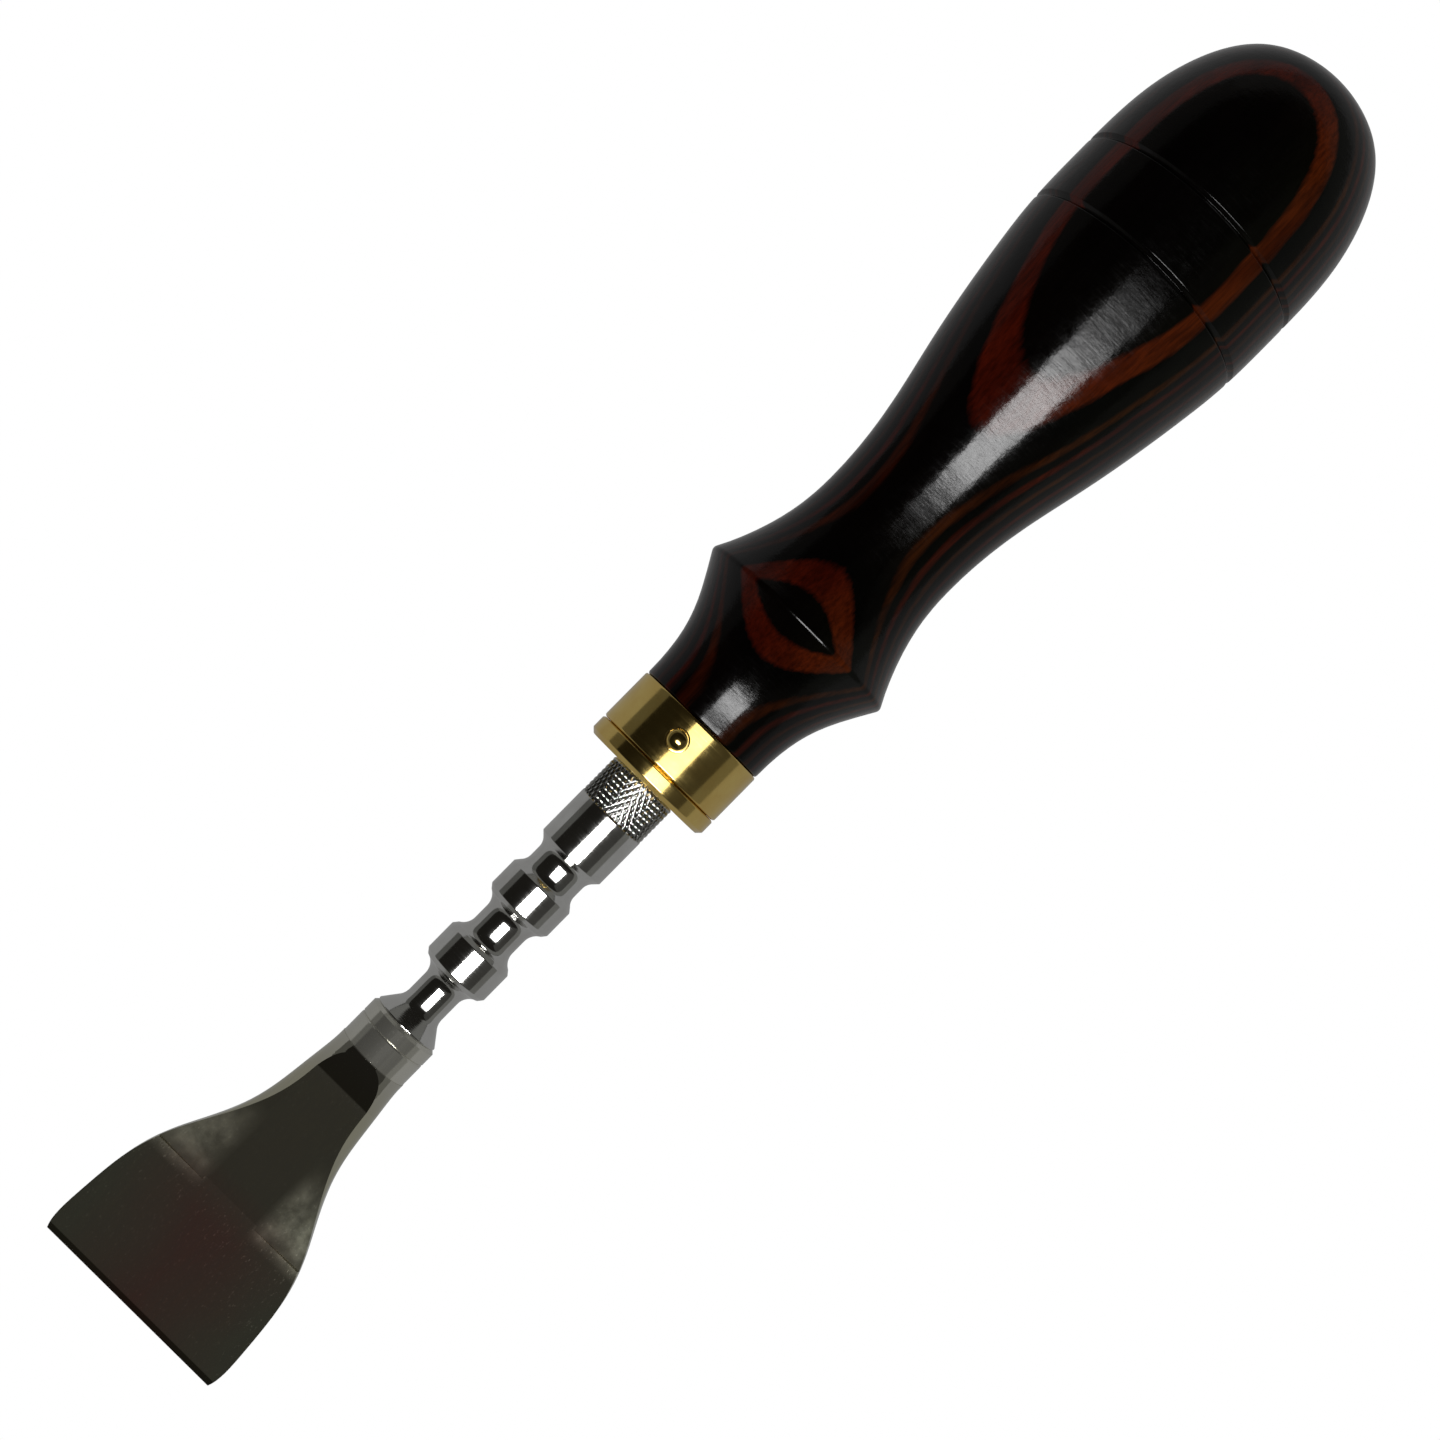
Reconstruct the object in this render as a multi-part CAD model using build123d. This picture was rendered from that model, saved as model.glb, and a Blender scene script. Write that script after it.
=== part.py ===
"""Broad edge beveler for leatherwork: a wide fishtail blade on a turned screw-in shank,
held by a brass-ferruled handle turned from laminated wood.

Millimetres.  X runs along the tool with the cutting edge at +X, +Z is up, and the origin is
under the middle of the tool's length, on the plane that the lying handle rests on.
Stations along the tool are distances behind the cutting edge, turned into X by at().
"""

import os
from math import atan2, degrees, hypot

from build123d import *

# ---------------------------------------------------------------- driving dimensions
# blade
edge_width = 25.0  # straight cutting edge
blade_width = 25.7  # widest place, a little behind the edge
widest_at = 3.9
shoulder_at = 16.5  # where the flat blade ends and the spine starts to rise
shoulder_width = 21.3
top_at_edge = 0.55  # upper face just behind its honed bevel, above the tool's axis
top_at_shoulder = 1.2  # upper face where the spine starts
blade_bottom = -0.9  # flat underside
underside_to = 18.5  # the flat underside reaches this far back
waist_at = 28.2  # slim place between the blade and its round stem
waist_width = 11.55
edge_height = 0.25  # height of the cutting edge above the axis
edge_land = 0.04  # thickness left at the cutting edge
top_bevel = 0.8  # length of the narrow honed bevel on the upper face
ground_bevel = 3.3  # length of the ground bevel under the edge
stem_dia = 9.0
stem_start = 38.6  # the spine's run-out reaches the top of the stem here
blade_length = 43.8  # edge to the stem's end
stem_chamfer = 0.5
spine_height = 3.2  # the ground face at the foot of its run-out
spine_foot = 34.2
facet_half = 4.0  # half-width of the spine's flat
facet_drop = 0.077  # fall of the side facets, per millimetre outward
stem_ring_depth = 0.12  # fine turned line on the stem
stem_ring_width = 0.3
stem_ring_at = 41.6

# shank, from the blade's stem to the brass mouth
spigot_dia = 4.0
spigot_length = 8.0
seat_dia = 8.4  # cone that backs on the stem
seat_land = 0.1
seat_slope = 0.76  # fall of the cone per millimetre
neck_lengths = [7.3, 5.2, 3.6]
neck_dias = [5.0, 5.8, 6.75]
bead_lengths = [4.8, 4.6]
bead_dia = 8.6
bead_chamfer = 0.55
grip_dia = 8.8
land_length = 6.7
knurl_length = 5.4
grip_chamfer = 0.3
stud_dia = 6.0  # M6 thread
thread_pitch = 1.0
stud_length = 15.0
stud_chamfer = 0.6
relief_dia = 5.0  # run-out groove at the root of the thread
relief_length = 1.6

# brass and insert
brass_dia = 17.0
collar_length = 2.3  # mouth to the seam
mouth_chamfer = 0.5
seam_width = 0.6  # V-groove at the seam, shared by collar and ferrule
seam_depth = 0.42
collar_spigot = 2.0
ferrule_length = 6.75
ferrule_wall = 1.0
washer_dia = 7.8
washer_thickness = 0.5
insert_dia = 9.0
insert_length = 14.0
insert_groove_depth = 0.4
insert_groove_width = 1.2
insert_grooves = 4
pin_dia = 2.3
pin_dome = 0.5
pin_from_mouth = 5.9
pin_angle = 4.5  # about X, towards -Y
pin_bite = 0.9  # depth of the pin in the insert's wall

# handle, stations measured behind the brass mouth
handle_front_dia = 16.8
ridge_at = 24.2
ridge_dia = 26.2
waist_station = 39.2
handle_waist_dia = 18.4
bulb_at = 83.4
bulb_dia = 30.4
shoulder_station = 99.8
shoulder_dia = 27.3
butt_at = 110.5
front_ease = 0.35  # rounding of the wood at the brass
ridge_radius = 0.7
handle_grooves = [77.8, 86.6]
groove_width = 0.9
groove_depth = 0.4
bore_spare = 0.8  # room behind the insert

# fits
glue_gap = 0.02  # radial room in glued and pressed joints
thread_gap = 0.05  # radial room between stud and insert
turning_gap = 0.10  # radial room of the washer and of the collar's bore

# ---------------------------------------------------------------- derived places
shank_length = sum(neck_lengths) + sum(bead_lengths) + land_length + knurl_length
mouth = blade_length + shank_length
overall = mouth + butt_at
axis_height = bulb_dia / 2
seam = mouth + collar_length
ferrule_end = seam + ferrule_length
tenon_front = seam + collar_spigot
ferrule_bore_dia = brass_dia - 2 * ferrule_wall
fit_bore_dia = ferrule_bore_dia - 2 * glue_gap
stud_bore_dia = stud_dia - 2 * thread_gap


def at(station):
    """X of a station measured behind the cutting edge."""
    return overall / 2 - station


def behind_mouth(distance):
    """X of a place measured behind the brass mouth."""
    return at(mouth + distance)


# ---------------------------------------------------------------- helpers
def turned(outline):
    """Revolve a closed outline of edges, drawn as (X, radius), about the tool's axis."""
    face = Plane.XZ * make_face(outline)
    return Pos(0, 0, axis_height) * revolve(face, Axis.X)


def rod(x_low, x_high, diameter):
    """A plain cylinder on the tool's axis between two X values."""
    length = x_high - x_low
    return Pos((x_low + x_high) / 2, 0, axis_height) * Rot(0, 90, 0) * Cylinder(diameter / 2, length)


def ring_groove(x, surface_radius, width, depth):
    """A V-groove cutter that is width wide where it meets the surface."""
    slope = width / 2 / depth
    spare = depth
    reach = (depth + spare) * slope
    root = (x, surface_radius - depth)
    right = (x + reach, surface_radius + spare)
    left = (x - reach, surface_radius + spare)
    return turned(Polyline(root, right, left, root))


def radius_at(solid, x):
    """Radius of a turned solid at X, read from a thin slice."""
    slice_ = solid & Pos(x, 0, axis_height) * Box(0.01, 2 * bulb_dia, 2 * bulb_dia)
    return slice_.bounding_box().size.Y / 2


# ---------------------------------------------------------------- blade
def blade_blank():
    """Forged blank: round stem flowing into the broad thin blade."""
    thin = 2.7
    corner = 0.3
    sections = [
        (0.0, edge_width, thin, corner),
        (widest_at, blade_width, thin, corner),
        ((widest_at + shoulder_at) / 2, (blade_width + shoulder_width) / 2 + 1.1, thin, corner),
        (shoulder_at, shoulder_width, thin + 0.4, 0.6),
        ((shoulder_at + waist_at) / 2, (shoulder_width + waist_width) / 2 - 0.9, thin + 2.2, 1.4),
        (waist_at, waist_width, (thin + stem_dia) / 2 + 0.9, 3.0),
        ((waist_at + stem_start) / 2, (waist_width + stem_dia) / 2 - 0.2, stem_dia - 0.3, 4.1),
        (stem_start, stem_dia + 0.1, stem_dia, stem_dia / 2 - 0.02),
    ]
    faces = []
    for station, width, height, radius in sections:
        place = Plane(origin=(at(station), 0, axis_height), x_dir=(0, 1, 0), z_dir=(1, 0, 0))
        faces.append(place * RectangleRounded(width, height, radius))
    return loft(faces)


def top_cut():
    """Everything above the ground upper face, with its rounded run-out into the stem."""
    high = stem_dia
    run = stem_start - spine_foot
    rise = stem_dia / 2 - spine_height
    middle = (at(spine_foot + 0.66 * run), spine_height + 0.58 * rise)
    outline = [
        Line((at(-1), high), (at(-1), edge_height)),
        Line((at(-1), edge_height), (at(0), edge_height)),
        Line((at(0), edge_height), (at(top_bevel), top_at_edge)),
        Line((at(top_bevel), top_at_edge), (at(shoulder_at), top_at_shoulder)),
        Line((at(shoulder_at), top_at_shoulder), (at(spine_foot), spine_height)),
        ThreePointArc((at(spine_foot), spine_height), middle, (at(stem_start), stem_dia / 2)),
        Line((at(stem_start), stem_dia / 2), (at(stem_start), high)),
        Line((at(stem_start), high), (at(-1), high)),
    ]
    face = Plane.XZ * make_face(outline)
    return Pos(0, 0, axis_height) * extrude(face, amount=blade_width, both=True)


def facet_cut(side):
    """Side facet beside the spine: a plane that rises with the spine and falls outward."""
    slope = (spine_height - top_at_shoulder) / (spine_foot - shoulder_at)
    rise_angle = degrees(atan2(slope, 1))
    fall_angle = degrees(atan2(facet_drop, 1))
    corner = Pos(at(shoulder_at), side * facet_half, axis_height + top_at_shoulder)
    tilt = Rot(0, rise_angle, 0) * Rot(-side * fall_angle, 0, 0)
    length = hypot(spine_foot - shoulder_at, spine_height) * 0.93
    block = Pos(-length / 2 + 0.5, side * blade_width / 4, 1.5) * Box(length, blade_width / 2, 3)
    return corner * tilt * block


def bottom_cut():
    """Everything below the flat underside, its ground bevel and its sweep down to the stem."""
    low = -stem_dia
    middle = ((at(underside_to) * 0.42 + at(stem_start) * 0.58), blade_bottom - 1.05)
    outline = [
        Line((at(-1), low), (at(-1), edge_height - edge_land)),
        Line((at(-1), edge_height - edge_land), (at(0), edge_height - edge_land)),
        Line((at(0), edge_height - edge_land), (at(ground_bevel), blade_bottom)),
        Line((at(ground_bevel), blade_bottom), (at(underside_to), blade_bottom)),
        ThreePointArc((at(underside_to), blade_bottom), middle, (at(stem_start), -stem_dia / 2)),
        Line((at(stem_start), -stem_dia / 2), (at(stem_start), low)),
        Line((at(stem_start), low), (at(-1), low)),
    ]
    face = Plane.XZ * make_face(outline)
    return Pos(0, 0, axis_height) * extrude(face, amount=blade_width, both=True)


def make_blade():
    stem_radius = stem_dia / 2
    front, back = at(stem_start), at(blade_length)
    stem = turned(
        Polyline(
            (front, 0),
            (front, stem_radius),
            (back + stem_chamfer, stem_radius),
            (back, stem_radius - stem_chamfer),
            (back, 0),
            (front, 0),
        )
    )
    stem -= ring_groove(at(stem_ring_at), stem_radius, stem_ring_width, stem_ring_depth)
    body = blade_blank() - top_cut() - bottom_cut() - facet_cut(1) - facet_cut(-1)
    body += stem
    socket_end = back + spigot_length + bore_spare
    return body - rod(back - 1, socket_end, spigot_dia + 2 * glue_gap)


# ---------------------------------------------------------------- shank
def shank_outline():
    """Upper half of the turned shank as a closed chain of edges, from spigot to stud."""
    spigot_r, stud_r = spigot_dia / 2, stud_bore_dia / 2
    bead_r, grip_r = bead_dia / 2, grip_dia / 2
    shoulder_r = bead_r - bead_chamfer * 0.8
    edges = []
    pen = [(at(blade_length) + spigot_length, 0)]

    def line_to(x, r):
        edges.append(Line(pen[-1], (x, r)))
        pen.append((x, r))

    def hollow_to(x, r, bottom_r, low_share, high_share):
        """A hollow: an arc down from the pen, a straight bottom, and an arc up to (x, r)."""
        run = pen[-1][0] - x
        first = (pen[-1][0] - run * low_share, bottom_r)
        last = (pen[-1][0] - run * high_share, bottom_r)
        edges.append(TangentArc(first, pen[-1], tangent=(1, 0)))
        edges.append(Line(first, last))
        edges.append(TangentArc(last, (x, r), tangent=(-1, 0)))
        pen.append((x, r))

    line_to(pen[-1][0], spigot_r)
    line_to(at(blade_length), spigot_r)
    line_to(at(blade_length), seat_dia / 2)
    station = blade_length
    # the first neck falls from the seat's cone, then opens into the first bead
    fall = (seat_dia - neck_dias[0]) / 2 * 0.82
    start = station + seat_land + fall / seat_slope
    line_to(at(station + seat_land), seat_dia / 2)
    line_to(at(start), seat_dia / 2 - fall)
    station += neck_lengths[0]
    hollow_to(at(station), shoulder_r, neck_dias[0] / 2, 0.2, 0.66)
    for bead_length, neck_length, neck_dia in zip(bead_lengths, neck_lengths[1:], neck_dias[1:]):
        line_to(at(station + bead_chamfer), bead_r)
        line_to(at(station + bead_length - bead_chamfer), bead_r)
        line_to(at(station + bead_length), shoulder_r)
        station += bead_length
        station += neck_length
        hollow_to(at(station), shoulder_r, neck_dia / 2, 0.32, 0.68)
    line_to(at(station + bead_chamfer), grip_r)
    line_to(at(mouth - grip_chamfer), grip_r)
    line_to(at(mouth), grip_r - grip_chamfer)
    line_to(at(mouth), relief_dia / 2)
    line_to(behind_mouth(relief_length), relief_dia / 2)
    line_to(behind_mouth(relief_length + 0.45), stud_r)
    line_to(behind_mouth(stud_length - stud_chamfer), stud_r)
    line_to(behind_mouth(stud_length), stud_r - stud_chamfer)
    line_to(behind_mouth(stud_length), 0)
    edges.append(Line(pen[-1], pen[0]))
    return edges


def make_shank():
    return turned(shank_outline())


def make_seat_washer():
    inner = stud_dia + 2 * turning_gap
    back = behind_mouth(washer_thickness)
    return rod(back, behind_mouth(0), washer_dia) - rod(back - 1, behind_mouth(-1), inner)


# ---------------------------------------------------------------- brass and insert
def make_mouth_collar():
    radius = brass_dia / 2
    spigot_r = fit_bore_dia / 2
    front, back = behind_mouth(0), at(seam)
    body = turned(
        Polyline(
            (front, 0),
            (front, radius - mouth_chamfer),
            (front - mouth_chamfer, radius),
            (back + seam_width / 2, radius),
            (back, radius - seam_depth),
            (back, spigot_r),
            (back - collar_spigot, spigot_r),
            (back - collar_spigot, 0),
            (front, 0),
        )
    )
    body -= rod(at(tenon_front) - 1, front + 1, stud_dia + 2 * turning_gap)
    seat = washer_dia + 2 * turning_gap
    return body - rod(behind_mouth(washer_thickness), front + 1, seat)


def make_ferrule():
    radius = brass_dia / 2
    bore_r = ferrule_bore_dia / 2
    front, back = at(seam), at(ferrule_end)
    body = turned(
        Polyline(
            (front, bore_r),
            (front, radius - seam_depth),
            (front - seam_width / 2, radius),
            (back, radius),
            (back, bore_r),
            (front, bore_r),
        )
    )
    return body - pin_hole(bore_r - 1, radius + 1)


def pin_stock(radius, low, high):
    """A radial cylinder at the pin's station, between two distances from the axis."""
    length = high - low
    upright = Pos(0, 0, (low + high) / 2) * Cylinder(radius, length)
    return Pos(behind_mouth(pin_from_mouth), 0, axis_height) * Rot(pin_angle, 0, 0) * upright


def pin_hole(low, high):
    return pin_stock(pin_dia / 2 + glue_gap, low, high)


def make_ferrule_pin():
    tip = insert_dia / 2 - pin_bite
    crown = brass_dia / 2
    half = pin_dia / 2
    dome_radius = (half**2 + pin_dome**2) / (2 * pin_dome)
    centre = crown + pin_dome - dome_radius
    place = Pos(behind_mouth(pin_from_mouth), 0, axis_height) * Rot(pin_angle, 0, 0)
    ball = place * Pos(0, 0, centre) * Sphere(dome_radius)
    return pin_stock(half, tip, crown + pin_dome) & (ball + pin_stock(half, tip - 1, crown))


def make_thread_insert():
    radius = insert_dia / 2
    front = at(tenon_front)
    back = front - insert_length
    body = rod(back, front, insert_dia)
    step = insert_length / (insert_grooves + 1)
    for index in range(insert_grooves):
        middle = front - step * (index + 1) - 0.6
        outer = rod(middle - insert_groove_width / 2, middle + insert_groove_width / 2, insert_dia + 1)
        inner = insert_dia - 2 * insert_groove_depth
        body -= outer - rod(middle - insert_groove_width, middle + insert_groove_width, inner)
    body -= rod(back - 1, front + 1, stud_dia)
    return body - pin_hole(radius - pin_bite - glue_gap, radius + 1)


# ---------------------------------------------------------------- handle
def handle_outline():
    """The turned outline as a closed chain, from the tenon's front to the butt and back."""
    front_r, ridge_r = handle_front_dia / 2, ridge_dia / 2
    waist_r, bulb_r, shoulder_r = handle_waist_dia / 2, bulb_dia / 2, shoulder_dia / 2
    tenon_r = fit_bore_dia / 2
    wood_front = ferrule_end - mouth
    flat = (-1, 0)
    front = (behind_mouth(wood_front + front_ease), front_r)
    ridge = (behind_mouth(ridge_at), ridge_r)
    waist = (behind_mouth(waist_station), waist_r)
    bulb = (behind_mouth(bulb_at), bulb_r)
    butt = (behind_mouth(butt_at), 0)

    def between(low, high, share, height):
        """A point a share of the way along from low to high, and height of the way up."""
        x = low[0] + (high[0] - low[0]) * share
        return (x, low[1] + (high[1] - low[1]) * height)

    shoulder = (behind_mouth(shoulder_station), shoulder_r)
    tail = between(shoulder, butt, 0.5, 0.183)
    rear_turn = between(shoulder, butt, 0.777, 0.40)
    rear_end = between(shoulder, butt, 0.945, 0.69)
    return [
        Line((at(tenon_front), 0), (at(tenon_front), tenon_r)),
        Line((at(tenon_front), tenon_r), (at(ferrule_end), tenon_r)),
        Line((at(ferrule_end), tenon_r), (at(ferrule_end), front_r - front_ease)),
        Line((at(ferrule_end), front_r - front_ease), front),
        Spline(front, between(front, ridge, 0.5, 0.21), ridge, tangents=[flat, (-1, 0.58)]),
        Spline(
            ridge,
            between(waist, ridge, 0.75, 0.55),
            between(waist, ridge, 0.42, 0.16),
            waist,
            tangents=[(-1, -0.56), flat],
        ),
        Spline(
            waist,
            between(waist, bulb, 0.23, 0.16),
            between(waist, bulb, 0.45, 0.51),
            between(waist, bulb, 0.75, 0.885),
            bulb,
            tangents=[flat, flat],
        ),
        Spline(bulb, shoulder, tail, rear_turn, rear_end, butt, tangents=[flat, (0, -1)]),
        Line(butt, (at(tenon_front), 0)),
    ]


def make_handle():
    body = turned(handle_outline())
    crest = [
        edge
        for edge in body.edges().filter_by(GeomType.CIRCLE)
        if abs(edge.center().X - behind_mouth(ridge_at)) < 0.01
    ]
    body = fillet(crest, ridge_radius)
    for distance in handle_grooves:
        x = behind_mouth(distance)
        body -= ring_groove(x, radius_at(body, x), groove_width, groove_depth)
    bore_end = at(tenon_front) - insert_length - bore_spare
    body -= rod(bore_end, at(tenon_front) + 1, insert_dia + 2 * glue_gap)
    return body - pin_hole(insert_dia / 2 - 1, brass_dia)


# ---------------------------------------------------------------- write
pieces = {
    "blade": make_blade,
    "shank": make_shank,
    "seat_washer": make_seat_washer,
    "mouth_collar": make_mouth_collar,
    "thread_insert": make_thread_insert,
    "ferrule": make_ferrule,
    "ferrule_pin": make_ferrule_pin,
    "handle": make_handle,
}

os.makedirs("parts", exist_ok=True)
for name, make in pieces.items():
    solid = make()
    solid.label = name
    export_step(solid, f"parts/{name}.step")
    print(name, round(solid.volume, 1))
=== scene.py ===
"""Looks of the broad edge beveler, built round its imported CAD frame.

Lengths in the measures below are millimetres, as X along the tool (cutting edge at +X) and
radius about the tool's axis; MM turns them into metres.
"""

from math import asin, atan2, cos, degrees, pi, radians, sin, sqrt, tan

import bpy
import numpy as np
from mathutils import Matrix, Vector


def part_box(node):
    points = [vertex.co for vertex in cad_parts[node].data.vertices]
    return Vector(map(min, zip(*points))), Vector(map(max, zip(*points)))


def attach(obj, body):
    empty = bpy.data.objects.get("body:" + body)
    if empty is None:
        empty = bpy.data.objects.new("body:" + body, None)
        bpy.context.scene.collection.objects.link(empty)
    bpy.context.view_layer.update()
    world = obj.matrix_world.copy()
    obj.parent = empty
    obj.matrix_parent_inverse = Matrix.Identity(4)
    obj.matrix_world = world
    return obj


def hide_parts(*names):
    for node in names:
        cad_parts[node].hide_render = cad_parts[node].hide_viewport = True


MM = 0.001

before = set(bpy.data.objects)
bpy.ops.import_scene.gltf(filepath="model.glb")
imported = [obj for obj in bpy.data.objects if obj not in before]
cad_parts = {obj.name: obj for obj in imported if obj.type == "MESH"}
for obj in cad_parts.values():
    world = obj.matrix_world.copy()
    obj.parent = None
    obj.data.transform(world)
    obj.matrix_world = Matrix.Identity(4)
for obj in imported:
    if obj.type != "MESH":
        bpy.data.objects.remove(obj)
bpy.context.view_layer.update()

# ---------------------------------------------------------------- measures from the frame
edge_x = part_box("blade")[1].x / MM
axis_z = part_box("handle")[1].z / MM / 2
mouth_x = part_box("mouth_collar")[1].x / MM
seam_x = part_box("ferrule")[1].x / MM
wood_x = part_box("ferrule")[0].x / MM
stud_end_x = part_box("shank")[0].x / MM
brass_r = (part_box("ferrule")[1].z / MM) - axis_z

# ---------------------------------------------------------------- sizes near the CAD's
# stations behind the cutting edge
bevel_end = 0.8
run_out_start = 34.2
stem_start = 38.6
blade_end = 43.8
first_bead = 51.1
second_bead = 61.1
land_start = 69.3
knurl_start = 76.0
knurl_end = 81.1

# radii and lengths of the shank
seat_r = 4.2
seat_land = 0.1
cone_end = 45.734
cone_end_r = 2.806
neck_radii = (2.5, 2.9, 3.375)
bead_lengths = (4.8, 4.6)
neck_lengths = (5.2, 3.6)
bead_r = 4.3
bead_chamfer = 0.55
bead_shoulder_r = 3.86
grip_r = 4.4
thread_r = 2.94
thread_pitch = 1.0

# distances behind the brass mouth, and sizes of brass and handle
pin_from_mouth = 5.9
pin_angle = 4.5
pin_r = 1.15
pin_dome = 0.5
ridge_from_mouth = 24.2
grooves_from_mouth = (77.8, 86.6)
spigot_r = 7.4
spigot_length = 2.0
bore_r = 3.2
washer_seat_r = 4.05
washer_seat_depth = 0.55

# ---------------------------------------------------------------- mesh helpers


def add_object(name, verts, faces, material, body, stands_for=(), sharp=38):
    """A smooth-shaded mesh that rides on a body; verts are in millimetres."""
    mesh = bpy.data.meshes.new(name)
    mesh.from_pydata([tuple(c * MM for c in v) for v in verts], [], faces)
    mesh.validate()
    mesh.polygons.foreach_set("use_smooth", [True] * len(mesh.polygons))
    mesh.set_sharp_from_angle(angle=radians(sharp))
    mesh.update()
    obj = bpy.data.objects.new(name, mesh)
    bpy.context.scene.collection.objects.link(obj)
    mesh.materials.append(material)
    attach(obj, body)
    if stands_for:
        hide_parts(*stands_for)
    return obj


def grid_faces(rows, columns):
    """Quads between rows of a grid whose columns close on themselves."""
    made = []
    for i in range(rows - 1):
        for j in range(columns):
            k = (j + 1) % columns
            made.append((i * columns + j, i * columns + k, (i + 1) * columns + k, (i + 1) * columns + j))
    return made


def lathe(profile, segments, depth_at=None):
    """Verts and faces of a turned surface. profile is (x, r) from the high-X end to the low-X
    end; depth_at(x, angle) lowers the surface where it is given."""
    verts = []
    for x, r in profile:
        for j in range(segments):
            angle = 2 * pi * j / segments
            radius = r - (depth_at(x, angle) if depth_at else 0)
            verts.append((x, radius * sin(angle), axis_z + radius * cos(angle)))
    return verts, grid_faces(len(profile), segments)


def soften(profile, size, steps=3, least=14):
    """Rounds the corners of a profile that turn by more than least degrees. A point just outside
    each rounding keeps the shading of the flat beside it flat."""
    share, guard = 0.40, 1.2
    made = [profile[0]]
    for before, corner, after in zip(profile, profile[1:], profile[2:]):
        a = np.subtract(before, corner)
        b = np.subtract(after, corner)
        la, lb = np.hypot(*a), np.hypot(*b)
        if la < 1e-6 or lb < 1e-6:
            continue
        turn = 180 - degrees(np.arccos(np.clip(a @ b / la / lb, -1, 1)))
        if turn < least:
            made.append(corner)
            continue
        reach = min(size, la * share, lb * share)
        start = np.array(corner) + a / la * reach
        end = np.array(corner) + b / lb * reach
        made.append(tuple(np.array(corner) + a / la * reach * guard))
        for t in np.linspace(0, 1, steps + 1):
            point = (1 - t) ** 2 * start + 2 * t * (1 - t) * np.array(corner) + t**2 * end
            made.append(tuple(point))
        made.append(tuple(np.array(corner) + b / lb * reach * guard))
    made.append(profile[-1])
    return made


def triangle(value):
    """A triangle wave of period 1 from 0 to 1."""
    part = value % 1.0
    return 2 * part if part < 0.5 else 2 - 2 * part


def station(distance):
    """X of a place measured behind the cutting edge."""
    return edge_x - distance


# ---------------------------------------------------------------- material helpers


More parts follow.
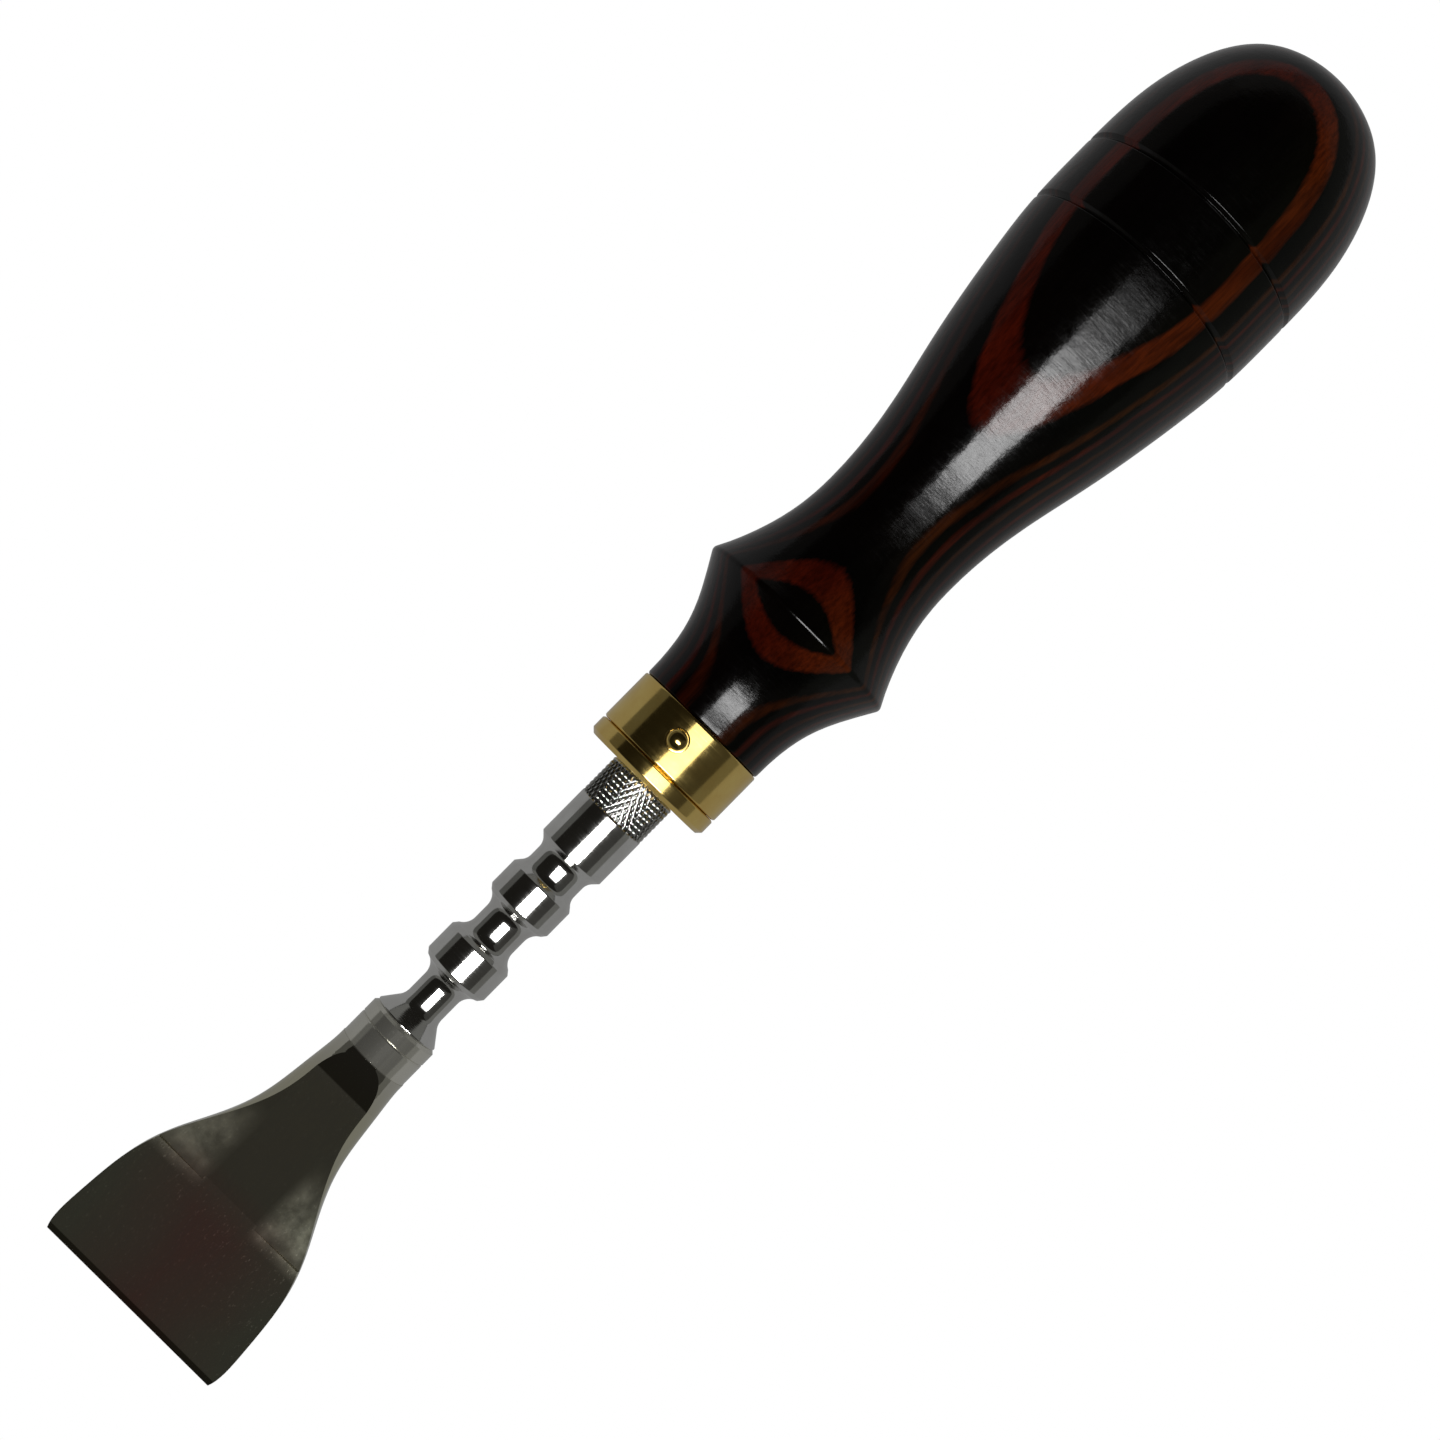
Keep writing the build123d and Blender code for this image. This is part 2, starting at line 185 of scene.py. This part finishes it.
class Shader:
    """A small wrapper that adds nodes to one material."""

    def __init__(self, name):
        self.material = bpy.data.materials.new(name)
        self.material.use_nodes = True
        self.tree = self.material.node_tree
        self.bsdf = self.tree.nodes["Principled BSDF"]
        self.coord = self.add("ShaderNodeTexCoord").outputs["Object"]

    def add(self, kind, **settings):
        node = self.tree.nodes.new(kind)
        for key, value in settings.items():
            setattr(node, key, value)
        return node

    def put(self, socket, value):
        if isinstance(value, bpy.types.NodeSocket):
            self.tree.links.new(value, socket)
        else:
            socket.default_value = value

    def finish(self, **sockets):
        """Sets the shader's own sockets, by name with _ for a space, and gives the material."""
        for name, value in sockets.items():
            self.put(self.bsdf.inputs[name.replace("_", " ")], value)
        return self.material

    def math(self, operation, a, b=0.0):
        node = self.add("ShaderNodeMath", operation=operation)
        self.put(node.inputs[0], a)
        self.put(node.inputs[1], b)
        return node.outputs[0]

    def plus(self, a, b):
        return self.math("ADD", a, b)

    def minus(self, a, b):
        return self.math("SUBTRACT", a, b)

    def times(self, a, b):
        return self.math("MULTIPLY", a, b)

    def scaled(self, x, y, z):
        node = self.add("ShaderNodeVectorMath", operation="MULTIPLY")
        self.put(node.inputs[0], self.coord)
        node.inputs[1].default_value = (x, y, z)
        return node.outputs[0]

    def place(self, x, y):
        """A point for a noise, from two values."""
        node = self.add("ShaderNodeCombineXYZ")
        self.put(node.inputs[0], x)
        self.put(node.inputs[1], y)
        return node.outputs[0]

    def noise(self, vector, scale, detail=4.0, rough=0.55):
        node = self.add("ShaderNodeTexNoise")
        self.put(node.inputs["Vector"], vector)
        node.inputs["Scale"].default_value = scale
        node.inputs["Detail"].default_value = detail
        node.inputs["Roughness"].default_value = rough
        return node.outputs["Fac"]

    def remap(self, value, low, high, to_low, to_high):
        node = self.add("ShaderNodeMapRange")
        self.put(node.inputs["Value"], value)
        node.inputs["From Min"].default_value = low
        node.inputs["From Max"].default_value = high
        node.inputs["To Min"].default_value = to_low
        node.inputs["To Max"].default_value = to_high
        return node.outputs["Result"]

    def behind_edge(self, x, start, end, at_start=0.0, at_end=1.0):
        """A value that changes between two stations behind the cutting edge."""
        return self.remap(x, station(start) * MM, station(end) * MM, at_start, at_end)

    def ramp(self, value, stops):
        node = self.add("ShaderNodeValToRGB")
        self.put(node.inputs["Fac"], value)
        elements = node.color_ramp.elements
        elements[0].position, elements[0].color = stops[0][0], (*stops[0][1], 1)
        elements[1].position, elements[1].color = stops[-1][0], (*stops[-1][1], 1)
        for position, colour in stops[1:-1]:
            elements.new(position).color = (*colour, 1)
        return node.outputs["Color"]

    def mix(self, factor, a, b, blend="MIX"):
        node = self.add("ShaderNodeMix", data_type="RGBA", blend_type=blend)
        self.put(node.inputs["Factor"], factor)
        self.put(node.inputs[6], a)
        self.put(node.inputs[7], b)
        return node.outputs[2]

    def tinted(self, factor, colour, by):
        """The colour multiplied by another where factor is 1."""
        return self.mix(factor, colour, self.mix(1.0, colour, (*by, 1), "MULTIPLY"))

    def bump(self, height, strength, distance, normal=None):
        node = self.add("ShaderNodeBump")
        node.inputs["Strength"].default_value = strength
        node.inputs["Distance"].default_value = distance
        self.put(node.inputs["Height"], height)
        if normal:
            self.put(node.inputs["Normal"], normal)
        return node.outputs["Normal"]

    def round_axis(self):
        """x, radius, angle, height above the tool's axis and y of the point, in metres."""
        parts = self.add("ShaderNodeSeparateXYZ")
        self.put(parts.inputs[0], self.coord)
        x, across = parts.outputs[0], parts.outputs[1]
        up = self.minus(parts.outputs[2], axis_z * MM)
        angle = self.math("ARCTAN2", across, up)
        square = self.plus(self.times(up, up), self.times(across, across))
        return x, self.math("SQRT", square), angle, up, across


# ---------------------------------------------------------------- materials


def turned_metal(name, colour, worn_colour, rough, lines=0.05, patches=0.06):
    """Metal finished on a lathe: fine rings along X, a little wear and uneven polish."""
    s = Shader(name)
    x, radius, *_ = s.round_axis()
    rings = s.noise(s.place(x, radius), 9000, 3, 0.6)
    wear = s.noise(s.coord, 260, 5, 0.62)
    smear = s.noise(s.coord, 900, 4, 0.7)
    uneven = s.plus(s.remap(smear, 0.3, 0.75, 0, patches), s.remap(rings, 0.3, 0.7, 0, lines))
    return s.finish(
        Base_Color=s.mix(s.remap(wear, 0.35, 0.7, 0, 1), (*colour, 1), (*worn_colour, 1)),
        Metallic=1.0,
        Roughness=s.plus(uneven, rough),
        Normal=s.bump(rings, 0.12, 0.00002),
    )


def make_blade_steel():
    """Hardened steel, polished, with a painted reddish reflection along the middle of its top, worn
    facets, scratches and a dull stem.
    A little haze over the metal is left out on the bare bevel and in the run-out's arch."""
    s = Shader("blade_steel")
    olive, russet_reflection = (0.50, 0.50, 0.37), (0.58, 0.33, 0.27)
    grained, stem_grey = (0.36, 0.36, 0.33), (0.58, 0.57, 0.51)
    x, _, _, up, across = s.round_axis()
    away = s.math("ABSOLUTE", across)
    grain = s.noise(s.scaled(1, 8, 8), 300, 4, 0.6)

    # Painted reflection: a reddish band down the middle of the blade's top, strongest towards the cutting
    # edge, stands for a reddish thing mirrored in the steel.
    drift = s.remap(s.noise(s.coord, 70, 2), 0, 1, -0.005, 0.005)
    middle = s.remap(s.plus(away, drift), 0.001, 0.011, 1, 0)
    middle = s.times(middle, s.math("GREATER_THAN", up, 0.0))
    middle = s.times(middle, s.behind_edge(x, 19, 13, 0.15, 1))
    tint = s.mix(middle, (*olive, 1), (*russet_reflection, 1))
    tint = s.mix(s.remap(grain, 0.3, 0.7, 0.0, 0.25), tint, (*grained, 1))
    tint = s.mix(s.behind_edge(x, 33.0, 39.5), tint, (*stem_grey, 1))

    facet = s.times(s.behind_edge(x, 14.5, 17.5), s.behind_edge(x, 27.0, 21.0))
    facet = s.times(facet, s.remap(away, 0.0035, 0.0052, 0, 1))
    facet = s.times(facet, s.remap(s.noise(s.coord, 260, 4, 0.6), 0.35, 0.65, 0.35, 1.0))
    on_stem = s.behind_edge(x, stem_start - 0.1, stem_start + 0.1)
    dull = s.plus(s.times(facet, 0.10), s.times(on_stem, 0.07))
    arch = s.times(s.behind_edge(x, run_out_start - 0.1, run_out_start + 0.1), s.minus(1.0, on_stem))
    bare = s.math("MAXIMUM", arch, s.behind_edge(x, bevel_end + 0.05, bevel_end - 0.05))
    haze = s.minus(0.034, s.times(bare, 0.032))

    scratch = s.noise(s.scaled(0.35, 1, 1), 5200, 3, 0.6)
    stem_length = (blade_end - stem_start) * MM
    fall = s.behind_edge(x, blade_end, stem_start, 0, -stem_length)
    return s.finish(
        Base_Color=tint,
        Metallic=s.minus(1.0, s.plus(haze, dull)),
        Roughness=s.plus(s.remap(scratch, 0.60, 0.8, 0.05, 0.12), s.times(dull, 1.2)),
        Normal=s.bump(grain, 0.06, 0.00002, s.bump(fall, 1.0, 0.17)),
    )


def veneer_height(s, x, up, across):
    """Height in the stack of veneers, in millimetres: they lie nearly level, wave a little, lean
    more towards the bulb and stand higher in the ridge."""
    lean = s.plus(s.times(x, -1.65), 0.055)
    height = s.minus(s.times(up, 0.985 / MM), s.times(s.times(across, lean), 1 / MM))
    wave = s.remap(s.noise(s.scaled(1, 0.6, 0.6), 42, 2, 0.5), 0.0, 1.0, -0.55, 0.55)
    fine = s.remap(s.noise(s.scaled(1, 9, 9), 210, 4, 0.6), 0.0, 1.0, -0.2, 0.2)
    return s.plus(s.plus(height, s.plus(wave, fine)), s.remap(x, -0.045, -0.020, 0.0, 1.0))


def veneer_colours(s, height):
    """Colour of the stack by height: thin dyed veneers between black ones."""
    black, soot = (0.0008, 0.0006, 0.0006), (0.0016, 0.0008, 0.0006)
    red, brown, amber = (0.032, 0.0022, 0.0007), (0.024, 0.0036, 0.0008), (0.052, 0.0046, 0.0011)
    lowest, split, highest, blur = -16.0, 1.2, 16.0, 0.14
    lower = [
        (-14.2, -12.4, red),
        (-10.9, -10.2, brown),
        (-8.9, -8.2, red),
        (-6.6, -6.0, amber),
        (-4.6, -3.8, red),
        (-2.4, -1.8, brown),
        (-0.4, 0.3, red),
    ]
    upper = [
        (2.1, 2.8, brown),
        (4.1, 4.7, red),
        (5.8, 6.3, brown),
        (7.2, 7.7, red),
        (8.45, 9.0, brown),
        (11.0, 12.5, amber),
    ]

    def stack(veneers, bottom, top):
        stops = [(0.0, black)]
        for low, high, colour in veneers:
            places = (low - blur, low + blur, high - blur, high + blur)
            for place, shade in zip(places, (black, colour, colour, soot)):
                stops.append(((place - bottom) / (top - bottom), shade))
        stops.append((1.0, black))
        return s.ramp(s.remap(height, bottom, top, 0, 1), stops)

    return s.mix(
        s.math("GREATER_THAN", height, split), stack(lower, lowest, split), stack(upper, split, highest)
    )


def make_wood():
    """Black and red-brown dyed veneers, seen through a glossy lacquer with fine scratches."""
    s = Shader("handle_wood")
    x, _, angle, up, across = s.round_axis()
    colour = veneer_colours(s, veneer_height(s, x, up, across))
    # Painted light: the +Y side, towards the lamps, is painted brighter and more orange than the veneers'
    # own colours.
    drift = s.remap(s.noise(s.coord, 70, 2), 0, 1, -0.006, 0.006)
    colour = s.tinted(s.remap(s.plus(across, drift), -0.002, 0.008, 0, 1), colour, (1.15, 2.3, 1.3))
    fibres = s.noise(s.scaled(0.05, 1, 1), 2600, 4, 0.65)
    colour = s.mix(s.remap(fibres, 0.35, 0.7, 0.0, 0.6), colour, (0.0006, 0.0004, 0.0003, 1))
    flame = s.noise(s.scaled(0.3, 1, 1), 230, 4, 0.6)
    colour = s.tinted(s.remap(flame, 0.36, 0.62, 0.0, 0.8), colour, (0.35, 0.3, 0.3))

    scratches = s.noise(s.place(x, s.times(angle, 0.0012)), 3600, 5, 0.7)
    swell = s.noise(s.coord, 420, 3, 0.6)
    worn = s.noise(s.coord, 900, 5, 0.7)
    return s.finish(
        Base_Color=colour,
        Roughness=s.plus(s.remap(worn, 0.3, 0.75, 0.09, 0.19), s.remap(scratches, 0.5, 0.75, 0.0, 0.10)),
        Normal=s.bump(swell, 0.3, 0.00012, s.bump(scratches, 0.22, 0.00005)),
        IOR=1.29,
    )


shank_steel = turned_metal("shank_steel", (0.66, 0.66, 0.64), (0.58, 0.57, 0.55), 0.05)
plain_steel = turned_metal("plain_steel", (0.5, 0.5, 0.49), (0.42, 0.41, 0.4), 0.28, 0.15)
brass_metal = turned_metal("brass", (0.80, 0.60, 0.20), (0.72, 0.50, 0.15), 0.07, 0.06)
blade_steel = make_blade_steel()
handle_wood = make_wood()

# ---------------------------------------------------------------- handle


def handle_outline():
    """X and outer radius of the CAD handle, from its own vertices, without those of its bore."""
    points = np.array([v.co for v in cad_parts["handle"].data.vertices]) / MM
    radius = np.hypot(points[:, 1], points[:, 2] - axis_z)
    shown = points[:, 0] <= wood_x + 0.001
    place, radius = np.round(points[shown, 0], 2), radius[shown]
    xs = np.unique(place)
    rs = np.array([radius[place == x].max() for x in xs])
    past_bore, thinnest = seam_x - 20, 7.9
    keep = (rs > 0.02) & ((xs < past_bore) | (rs > thinnest))
    return xs[keep], rs[keep]


def handle_profile():
    """The handle's outline, sampled evenly, closer at its butt, its ridge and its two grooves."""
    ease, butt_length, ridge_half, groove_half = 0.36, 13, 1.4, 0.62
    xs, rs = handle_outline()
    low, front = xs[0], xs[-1]
    ridge = mouth_x - ridge_from_mouth
    places = set(np.round(np.linspace(low + butt_length, front - ease, 150), 3))
    places |= set(np.round(low + butt_length * (1 - np.cos(np.linspace(0, pi / 2, 40))), 4))
    places |= set(np.round(np.linspace(ridge - ridge_half, ridge + ridge_half, 29), 3))
    for distance in grooves_from_mouth:
        groove = mouth_x - distance
        places = {p for p in places if abs(p - groove) > groove_half}
        steps = (0.03, 0.12, 0.25, 0.38, 0.45, 0.52, 0.6)
        places |= {groove + side * step for step in steps for side in (-1, 1)}
    places = sorted((p for p in places if low <= p <= front - 0.3), reverse=True)
    profile = [(float(p), float(np.interp(p, xs, rs))) for p in places]
    front_r = float(np.interp(front - ease, xs, rs))
    edge_round = ((0.01, 0.30), (0.05, 0.16), (0.14, 0.06), (0.25, 0.015))
    easing = [(front - inset, front_r - drop) for inset, drop in edge_round]
    return [(front, 7.0), (front, front_r - ease), *easing, *profile, (-edge_x + 0.005, 0.02)]


verts, faces = lathe(handle_profile(), 176)
add_object("handle_body", verts, faces, handle_wood, "grip", ["handle"], 60)

# ---------------------------------------------------------------- brass
seam_half, seam_depth = 0.20, 0.26
mouth_chamfer = 0.55

collar_line = [
    (mouth_x - washer_seat_depth, washer_seat_r),
    (mouth_x, washer_seat_r),
    (mouth_x, brass_r - mouth_chamfer),
    (mouth_x - mouth_chamfer, brass_r),
    (seam_x + seam_half, brass_r),
    (seam_x + 0.015, brass_r - seam_depth),
    (seam_x + 0.02, spigot_r),
    (seam_x - spigot_length, spigot_r),
    (seam_x - spigot_length, bore_r),
    (mouth_x - washer_seat_depth, bore_r),
    (mouth_x - washer_seat_depth, washer_seat_r - 0.05),
]
verts, faces = lathe(soften(collar_line, 0.09), 144)
add_object("collar", verts, faces, brass_metal, "grip", ["mouth_collar"])

ferrule_line = [
    (seam_x - 0.01, spigot_r + 0.15),
    (seam_x - 0.01, brass_r - seam_depth),
    (seam_x - seam_half, brass_r),
    (wood_x + 0.02, brass_r),
    (wood_x + 0.02, spigot_r + 0.15),
]
verts, faces = lathe(soften(ferrule_line, 0.26), 144)
add_object("ferrule_tube", verts, faces, brass_metal, "grip", ["ferrule"])


def make_pin():
    """Domed pin and the thin burr of brass round its hole."""
    segments, dome_steps = 48, 11
    place = Matrix.Translation((mouth_x - pin_from_mouth, 0, axis_z))
    place = place @ Matrix.Rotation(radians(pin_angle), 4, "X")
    turns = [2 * pi * j / segments for j in range(segments)]

    dome_r = (pin_r**2 + pin_dome**2) / (2 * pin_dome)
    tilts = [asin(pin_r / dome_r) * k / dome_steps for k in range(1, dome_steps + 1)]
    line = [(0.002, brass_r + pin_dome)]
    line += [(dome_r * sin(a), brass_r + pin_dome - dome_r * (1 - cos(a))) for a in tilts]
    line += [(pin_r, brass_r - 0.3), (pin_r, brass_r - 2.0)]
    verts = [tuple(place @ Vector((r * cos(t), r * sin(t), z))) for r, z in line for t in turns]
    add_object("pin", verts, grid_faces(len(line), segments), brass_metal, "grip", ["ferrule_pin"])

    burr = ((1.16, -0.12), (1.20, -0.01), (1.26, 0.035), (1.34, 0.03), (1.42, 0.0), (1.46, -0.03))
    verts = []
    for r, lift in burr:
        for t in turns:
            across = r * sin(t)
            verts.append(tuple(place @ Vector((r * cos(t), across, sqrt(brass_r**2 - across**2) + lift))))
    add_object("pin_seat", verts, grid_faces(len(burr), segments), brass_metal, "grip")


make_pin()

# ---------------------------------------------------------------- shank


def hollow(start, end, bottom, low_share, high_share, count=12):
    """A hollow between two (x, r) points: an arc down, a straight bottom and an arc up."""
    run = start[0] - end[0]
    made = []
    for rise, reach in ((start[1] - bottom, run * low_share), (end[1] - bottom, run * (1 - high_share))):
        turn = 2 * atan2(rise, reach)
        round_r = reach / sin(turn)
        steps = [turn * k / count for k in range(count + 1)]
        made.append([(reach - round_r * sin(a), bottom + round_r * (1 - cos(a))) for a in steps])
    down = [(start[0] - d, r) for d, r in reversed(made[0])]
    return down[1:] + [(end[0] + d, r) for d, r in made[1]]


def shank_line():
    """The visible turned part, from the stem's end to the knurl."""
    cone = (station(cone_end), cone_end_r)
    line = [(station(blade_end), 0.5), (station(blade_end), seat_r)]
    line += [(station(blade_end + seat_land), seat_r), cone]
    line += hollow(cone, (station(first_bead), bead_shoulder_r), neck_radii[0], 0.2, 0.66)
    sizes = zip((first_bead, second_bead), bead_lengths, neck_lengths, neck_radii[1:])
    for start, length, gap, neck_r in sizes:
        end = start + length
        line += [(station(start + bead_chamfer), bead_r), (station(end - bead_chamfer), bead_r)]
        shoulder = (station(end), bead_shoulder_r)
        line.append(shoulder)
        line += hollow(shoulder, (station(end + gap), bead_shoulder_r), neck_r, 0.32, 0.68)
    line += [(station(land_start + bead_chamfer), grip_r), (station(knurl_start + 0.05), grip_r)]
    line += [(station(knurl_start + 0.3), 4.0), (station(knurl_start + 0.3), 3.0)]
    return soften(line, 0.07)


verts, faces = lathe(shank_line(), 96)
add_object("shank_body", verts, faces, shank_steel, "head", ["shank"], 34)

knurl_starts, knurl_angle, knurl_cut, knurl_rows = 38, 30, 0.24, 72
knurl_front, knurl_back = station(knurl_start), station(knurl_end)


def knurl_depth(x, angle):
    """Depth of the diamond knurl: two crossing sets of V-grooves, run out at both ends."""
    turn = angle / 2 / pi * knurl_starts
    along = (x - knurl_back) * tan(radians(knurl_angle)) / (2 * pi * grip_r / knurl_starts)
    nearest = min(triangle(turn + along), triangle(turn - along))
    depth = knurl_cut * (1 - min(1.0, 1.25 * nearest))
    fade = min(1.0, (knurl_front - x) / 0.18, (x - knurl_back) / 0.18 + 0.6)
    return depth * max(0.0, fade)


crest_r = grip_r - 0.005
knurl_line = [(knurl_front + 0.02, 4.2), (knurl_front + 0.01, crest_r)]
knurl_line += [(x, crest_r) for x in np.linspace(knurl_front, knurl_back, knurl_rows + 1)]
knurl_line += [(mouth_x + 0.12, 4.25), (mouth_x + 0.02, 4.1), (mouth_x + 0.02, 2.6)]
verts, faces = lathe(knurl_line, knurl_starts * 8, knurl_depth)
add_object("shank_knurl", verts, faces, shank_steel, "head", sharp=50)

thread_front = mouth_x - 2.2


def thread_depth(x, angle):
    """Depth of the M6 thread, with a lead-in at the stud's end."""
    if x > thread_front or x < stud_end_x + 0.05:
        return 0.0
    grow = min(1.0, (thread_front - x) / 0.6, (x - stud_end_x) / 0.5)
    return grow * 0.5 * triangle((x - angle / 2 / pi) / thread_pitch)


stud_line = [(mouth_x + 0.02, 2.5), (mouth_x - 1.6, 2.5), (mouth_x - 2.05, thread_r)]
stud_line += [(x, thread_r) for x in np.linspace(mouth_x - 2.1, stud_end_x + 0.6, 101)]
stud_line += [(stud_end_x, 2.35), (stud_end_x, 0.01)]
verts, faces = lathe(stud_line, 48, thread_depth)
add_object("shank_stud", verts, faces, plain_steel, "head", sharp=50)

# ---------------------------------------------------------------- pieces shown as packed
for name, material, slot in (
    ("blade", blade_steel, "blade_steel"),
    ("seat_washer", plain_steel, "plain_steel"),
    ("thread_insert", plain_steel, "plain_steel"),
):
    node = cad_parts[name]
    node.data.materials.clear()
    node.data.materials.append(material)

# ---------------------------------------------------------------- stage, in metres
scene = bpy.context.scene
camera_lean = radians(1.6)
camera_distance = 0.2741
table_reach, wall_distance, light_distance = 3.0, 2.4, 1.2
table_slope = 0.0355
bulb_x = -0.0688
target = Vector(((mouth_x - 10.95) * MM, 1.08 * MM, axis_z * MM))
back = Vector((sin(camera_lean), 0, cos(camera_lean)))


def flat_emitter(name, corners, strength, camera, glossy, colour=(1, 1, 1)):
    """A glowing sheet, clear from behind and seen only by the kinds of ray that are asked for."""
    mesh = bpy.data.meshes.new(name)
    mesh.from_pydata(corners, [], [(0, 1, 2, 3)])
    obj = bpy.data.objects.new(name, mesh)
    scene.collection.objects.link(obj)
    material = bpy.data.materials.new(name)
    material.use_nodes = True
    nodes, links = material.node_tree.nodes, material.node_tree.links
    nodes.clear()
    glow = nodes.new("ShaderNodeEmission")
    glow.inputs["Color"].default_value = (*colour, 1)
    glow.inputs["Strength"].default_value = strength
    choice = nodes.new("ShaderNodeMixShader")
    links.new(nodes.new("ShaderNodeNewGeometry").outputs["Backfacing"], choice.inputs[0])
    links.new(glow.outputs[0], choice.inputs[1])
    links.new(nodes.new("ShaderNodeBsdfTransparent").outputs[0], choice.inputs[2])
    links.new(choice.outputs[0], nodes.new("ShaderNodeOutputMaterial").inputs[0])
    material.cycles.emission_sampling = "NONE"
    mesh.materials.append(material)
    obj.visible_camera, obj.visible_glossy, obj.visible_diffuse = camera, glossy, glossy
    obj.visible_transmission = obj.visible_volume_scatter = obj.visible_shadow = False


def ground(x):
    """Height of the tabletop, which touches the handle's ridge and bulb."""
    return (x - bulb_x) * table_slope - 0.0003


def softbox(name, lean_x, lean_y, half_x, half_y, radiance):
    """An area light aimed at the tool: leans from the vertical and half-sizes in degrees."""
    direction = Vector((tan(radians(lean_x)), tan(radians(lean_y)), 1)).normalized()
    data = bpy.data.lights.new(name, "AREA")
    data.shape = "RECTANGLE"
    data.size = 2 * light_distance * tan(radians(half_x))
    data.size_y = 2 * light_distance * tan(radians(half_y))
    data.energy = radiance * data.size * data.size_y * pi
    obj = bpy.data.objects.new(name, data)
    scene.collection.objects.link(obj)
    x = (Vector((1, 0, 0)) - direction * direction.x).normalized()
    turn = Matrix((x, direction.cross(x), direction)).transposed()
    obj.matrix_world = Matrix.Translation(target + direction * light_distance) @ turn.to_4x4()
    obj.visible_camera = False


def wall(name, side, low, high, strength, colour, camera=False):
    """A strip of the room, side being its direction as (x, y), between two heights in degrees."""
    base, top = wall_distance * tan(radians(low)), wall_distance * tan(radians(high))
    middle = Vector(side) * wall_distance
    over = Vector((-middle.y, middle.x))
    left, right = middle + over, middle - over
    corners = [(*left, base), (*right, base), (*right, top), (*left, top)]
    flat_emitter(name, corners, strength, camera, not camera, colour)


table_signs = ((-1, -1), (1, -1), (1, 1), (-1, 1))
table_corners = [(i * table_reach, j * table_reach, ground(i * table_reach)) for i, j in table_signs]
flat_emitter("floor", table_corners, 1.0, True, False)
flat_emitter("floor_mirror", table_corners, 0.30, False, True)
softbox("softbox_main", 10.7, 10.8, 5.4, 18, 26.0)
softbox("softbox_low", 0.6, 10.8, 4.6, 18, 2.2)
for number, (side, glow) in enumerate((((1, 0), 0.16), ((0, 1), 0.16), ((-1, 0), 0.16), ((0, -1), 0.10))):
    wall(f"wall_{number}", side, 0, 22, glow, (1.0, 1.0, 0.94))
    wall(f"backdrop_{number}", side, -50, 80, 1.0, (1, 1, 1), True)
wall("wall_high", (0, 1), 22, 58, 0.055, (1.0, 0.98, 0.9))

world = bpy.data.worlds.new("room")
scene.world = world
world.use_nodes = True
world.node_tree.nodes["Background"].inputs["Color"].default_value = (0.014, 0.013, 0.011, 1)
world.node_tree.nodes["Background"].inputs["Strength"].default_value = 1.0

camera_data = bpy.data.cameras.new("camera")
camera = bpy.data.objects.new("camera", camera_data)
scene.collection.objects.link(camera)
camera_data.sensor_width = 36.0
camera_data.lens = 61.25
camera_data.clip_start, camera_data.clip_end = 0.005, 20.0
upright = Vector((-0.7117, -0.7025, 0))  # the camera's upright, laid on the table
up = (upright - back * upright.dot(back)).normalized()
turn = Matrix((up.cross(back), up, back)).transposed()
camera.matrix_world = Matrix.Translation(target + back * camera_distance) @ turn.to_4x4()
scene.camera = camera

scene.view_settings.view_transform = "Standard"
scene.view_settings.look = "None"
